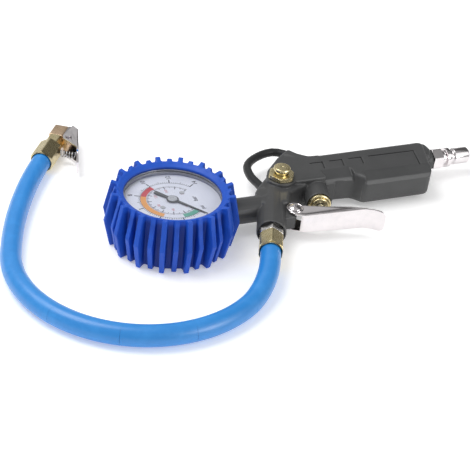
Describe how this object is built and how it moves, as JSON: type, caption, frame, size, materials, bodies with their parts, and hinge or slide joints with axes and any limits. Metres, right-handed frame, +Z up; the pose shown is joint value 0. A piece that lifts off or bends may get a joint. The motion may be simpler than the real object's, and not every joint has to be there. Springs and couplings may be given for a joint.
{
  "type": "tyre inflator with gauge",
  "caption": "Hand-held tyre inflator: cast trigger grip, Bourdon gauge in a ribbed rubber boot, bleed button, inlet plug and a hose with a clip-on chuck.",
  "frame": {"origin": "centre of the gauge boot's flat back, on the floor the tool lies on", "axes": "+X along the gauge neck towards the grip, +Y away from the trigger lever, +Z up, the way the dial faces"},
  "size_m": [0.352, 0.2453, 0.0377],
  "materials": {
    "casting": "satin dark grey die-casting",
    "loop": "smooth black coating",
    "boot": "moulded royal blue rubber",
    "hose": "light blue rubber, slight sheen",
    "seal": "black rubber",
    "brass": "bright turned brass",
    "chrome": "polished chrome plate",
    "nickel": "nickel plated",
    "steel": "plain steel",
    "case": "light grey enamel",
    "dial": "white printed dial",
    "lens": "clear polished",
    "pointer": "dark grey enamel"
  },
  "bodies": {
    "gun": {"body_casting": "casting", "hanging_loop": "loop", "inlet_seal": "seal", "inlet_plug": "chrome", "gauge_boot": "boot", "gauge_case": "case", "gauge_lens": "lens", "gauge_bezel": "case", "gauge_dial": "dial", "dial_screw_1": "steel", "dial_screw_2": "steel", "gauge_socket": "brass", "gauge_thread_seal": "seal", "bourdon_tube": "brass", "bourdon_tip": "brass", "movement_back_plate": "brass", "movement_front_plate": "brass", "hairspring": "steel", "trigger_gland": "brass", "trigger_spring": "steel", "trigger_pin": "chrome", "trigger_pin_clip": "steel", "bleed_gland": "brass", "bleed_seal": "seal", "bleed_spring": "steel", "hose_adaptor": "nickel", "gun_ferrule": "brass", "hose_1": "hose"},
    "lever": {"trigger_lever": "chrome"},
    "valve_stem": {"trigger_stem": "steel", "trigger_poppet_seal": "seal"},
    "bleed_plunger": {"bleed_button": "brass"},
    "sector": {"sector_gear": "brass"},
    "link": {"movement_link": "steel"},
    "needle": {"pinion": "steel", "pointer": "pointer"},
    "hose_part_2": {"hose_2": "hose"},
    "hose_part_3": {"hose_3": "hose"},
    "hose_part_4": {"hose_4": "hose"},
    "hose_part_5": {"hose_5": "hose"},
    "hose_part_6": {"hose_6": "hose"},
    "hose_part_7": {"hose_7": "hose"},
    "hose_part_8": {"hose_8": "hose"},
    "chuck": {"hose_9": "hose", "chuck_ferrule": "brass", "chuck_adaptor": "brass", "chuck_body": "brass", "chuck_seal": "seal", "chuck_core_pin": "brass", "clip_pin": "steel", "clip_spring": "steel"},
    "clip": {"chuck_clip": "chrome"}
  },
  "joints": [
    {"name": "trigger_squeeze", "type": "hinge", "parent": "gun", "child": "lever", "pos_m": [0.0797, -0.0148, 0.0133], "axis": [0, 0, 1], "range_deg": [0, 11]},
    {"name": "valve_stem_slide", "type": "slide", "parent": "gun", "child": "valve_stem", "axis": [0.2521, 0.9677, 0], "range_m": [0, 0.00394], "deforming": ["trigger_spring"]},
    {"name": "bleed_press", "type": "slide", "parent": "gun", "child": "bleed_plunger", "axis": [0, 0, -1], "range_m": [0, 0.0018], "deforming": ["bleed_spring"]},
    {"name": "sector_turn", "type": "hinge", "parent": "gun", "child": "sector", "pos_m": [-0.013, 0.00229, 0.0206], "axis": [0, 0, 1], "range_deg": [0, 27]},
    {"name": "needle_turn", "type": "hinge", "parent": "gun", "child": "needle", "pos_m": [0, 0, 0.0294], "axis": [0, 0, 1], "range_deg": [-270, 0]},
    {"name": "link_turn", "type": "hinge", "parent": "sector", "child": "link", "pos_m": [-0.02052, -0.00044, 0.0217], "axis": [0, 0, 1], "range_deg": [-27, 0]},
    {"name": "hose_bend_1", "type": "hinge", "parent": "gun", "child": "hose_part_2", "pos_m": [0.03388, -0.07332, 0.00927], "axis": [0, 0, 1], "range_deg": [-4, 8]},
    {"name": "hose_bend_2", "type": "hinge", "parent": "hose_part_2", "child": "hose_part_3", "pos_m": [-0.00025, -0.09618, 0.00665], "axis": [0, 0, 1], "range_deg": [-4, 8]},
    {"name": "hose_bend_3", "type": "hinge", "parent": "hose_part_3", "child": "hose_part_4", "pos_m": [-0.04124, -0.09888, 0.00665], "axis": [0, 0, 1], "range_deg": [-4, 8]},
    {"name": "hose_bend_4", "type": "hinge", "parent": "hose_part_4", "child": "hose_part_5", "pos_m": [-0.07808, -0.0807, 0.00665], "axis": [0, 0, 1], "range_deg": [-4, 8]},
    {"name": "hose_bend_5", "type": "hinge", "parent": "hose_part_5", "child": "hose_part_6", "pos_m": [-0.10088, -0.04653, 0.00665], "axis": [0, 0, 1], "range_deg": [-4, 8]},
    {"name": "hose_bend_6", "type": "hinge", "parent": "hose_part_6", "child": "hose_part_7", "pos_m": [-0.10353, -0.00553, 0.00665], "axis": [0, 0, 1], "range_deg": [-4, 8]},
    {"name": "hose_bend_7", "type": "hinge", "parent": "hose_part_7", "child": "hose_part_8", "pos_m": [-0.09164, 0.03426, 0.00665], "axis": [0, 0, 1], "range_deg": [-4, 8]},
    {"name": "hose_bend_8", "type": "hinge", "parent": "hose_part_8", "child": "chuck", "pos_m": [-0.07477, 0.0722, 0.00721], "axis": [0, 0, 1], "range_deg": [-4, 8]},
    {"name": "clip_open", "type": "hinge", "parent": "chuck", "child": "clip", "pos_m": [-0.03591, 0.11741, 0.0077], "axis": [0, 0, -1], "range_deg": [0, 15], "deforming": ["clip_spring"]}
  ],
  "couplings": [
    {"joint": "valve_stem_slide", "follows": "trigger_squeeze", "m_per_rad": 0.0205},
    {"joint": "needle_turn", "follows": "sector_turn", "ratio": -10},
    {"joint": "link_turn", "follows": "sector_turn", "ratio": -1}
  ]
}
